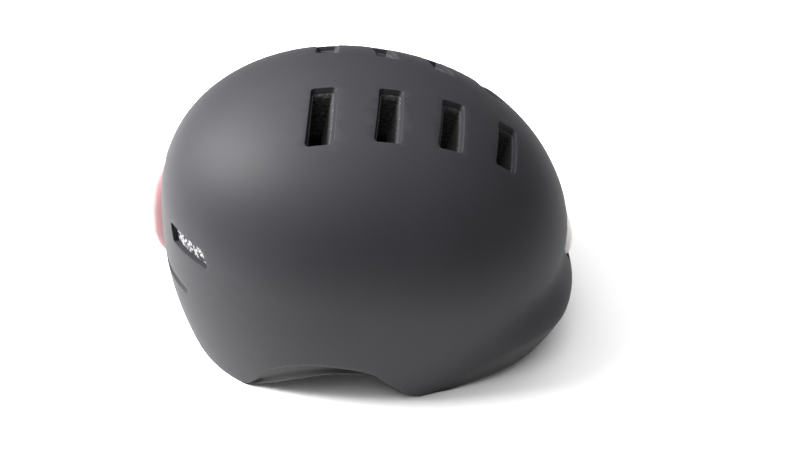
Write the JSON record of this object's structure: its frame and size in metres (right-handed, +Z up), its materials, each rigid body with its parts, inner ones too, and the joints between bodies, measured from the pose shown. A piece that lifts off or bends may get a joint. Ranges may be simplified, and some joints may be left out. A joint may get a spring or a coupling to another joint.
{
  "type": "cycling helmet",
  "caption": "Urban cycling helmet with vented shell, flared brim, front and rear lamps, dial fit system and buckled chin strap.",
  "frame": {"origin": "on the plane the helmet stands on, half way between brim tip and rear lens, on the plane of symmetry", "axes": "+X forwards towards the brim, +Y towards the wearer's left, +Z up towards the crown"},
  "size_m": [0.2926, 0.2256, 0.174],
  "materials": {
    "shell_abs": "fine matte moulded ABS",
    "wrap_abs": "matte",
    "foam": "beaded expanded polystyrene",
    "red_lens": "translucent",
    "clear_lens": "translucent",
    "lamp_black": "matte",
    "reflector": "vacuum metallised",
    "board": "solder mask",
    "led": "moulded",
    "steel": "zinc plated",
    "battery_foil": "foil",
    "rubber": "soft",
    "fit_nylon": "satin nylon",
    "acetal": "moulded",
    "pad_cloth": "brushed knit",
    "webbing": "woven polyester",
    "cable": "flat cable"
  },
  "bodies": {
    "helmet": {"outer_shell": "shell_abs", "lower_wrap": "wrap_abs", "eps_liner": "foam", "lamp_cable": "cable", "strap_anchors": "fit_nylon", "brow_pad": "pad_cloth", "crown_pad": "pad_cloth", "side_pad_left": "pad_cloth", "side_pad_right": "pad_cloth", "rear_pad": "pad_cloth", "chin_pad": "pad_cloth", "rear_light_housing": "lamp_black", "front_light_housing": "lamp_black", "rear_light_board": "board", "front_light_board": "board", "rear_light_leds": "led", "front_light_leds": "led", "rear_light_screws": "steel", "front_light_screws": "steel", "rear_light_reflector": "reflector", "front_light_reflector": "reflector", "rear_light_lens": "red_lens", "front_light_lens": "clear_lens", "power_switch": "lamp_black", "usb_port": "steel", "battery": "battery_foil", "temple_pin_left": "fit_nylon", "temple_pin_right": "fit_nylon", "strap_divider_left": "fit_nylon", "strap_divider_right": "fit_nylon", "strap_front_left": "webbing", "strap_front_right": "webbing", "strap_rear_left": "webbing", "strap_rear_right": "webbing", "chin_strap_left": "webbing", "chin_strap_right": "webbing", "buckle_socket": "fit_nylon"},
    "cradle": {"cradle_housing": "fit_nylon", "cradle_cover": "fit_nylon", "cradle_screws": "steel", "nape_pad": "pad_cloth", "detent_ring": "steel"},
    "dial": {"dial_knob": "rubber", "drive_pinion": "acetal"},
    "left_arm": {"arm_left": "fit_nylon"},
    "right_arm": {"arm_right": "fit_nylon"},
    "button": {"power_button": "rubber"},
    "charge_cover": {"usb_cover": "rubber"},
    "buckle_half": {"buckle_tongue": "fit_nylon"}
  },
  "joints": [
    {"name": "cradle_pitch", "type": "hinge", "parent": "helmet", "child": "cradle", "pos_m": [-0.00863, 0, 0.045], "axis": [0, 1, 0], "range_deg": [-2, 6]},
    {"name": "dial_turn", "type": "hinge", "parent": "cradle", "child": "dial", "pos_m": [-0.11, 0, 0.024], "axis": [1, 0, 0], "range_deg": [-120, 120]},
    {"name": "left_arm_slide", "type": "hinge", "parent": "cradle", "child": "left_arm", "pos_m": [-0.0275, 0, 0.024], "axis": [0, 0, 1], "range_deg": [-9.24, 9.24]},
    {"name": "right_arm_slide", "type": "hinge", "parent": "cradle", "child": "right_arm", "pos_m": [-0.0275, 0, 0.024], "axis": [0, 0, 1], "range_deg": [-9.24, 9.24]},
    {"name": "button_press", "type": "slide", "parent": "helmet", "child": "button", "axis": [0.9877, 0, -0.1564], "range_m": [0, 0.001], "stiffness_N_per_m": 2500},
    {"name": "cover_open", "type": "slide", "parent": "helmet", "child": "charge_cover", "axis": [-0.9877, 0, 0.1564], "range_m": [0, 0.005]},
    {"name": "buckle_release", "type": "slide", "parent": "helmet", "child": "buckle_half", "axis": [0, 1, 0], "range_m": [0, 0.02]}
  ],
  "couplings": [
    {"joint": "left_arm_slide", "follows": "dial_turn", "ratio": 0.076923},
    {"joint": "right_arm_slide", "follows": "dial_turn", "ratio": -0.076923}
  ]
}
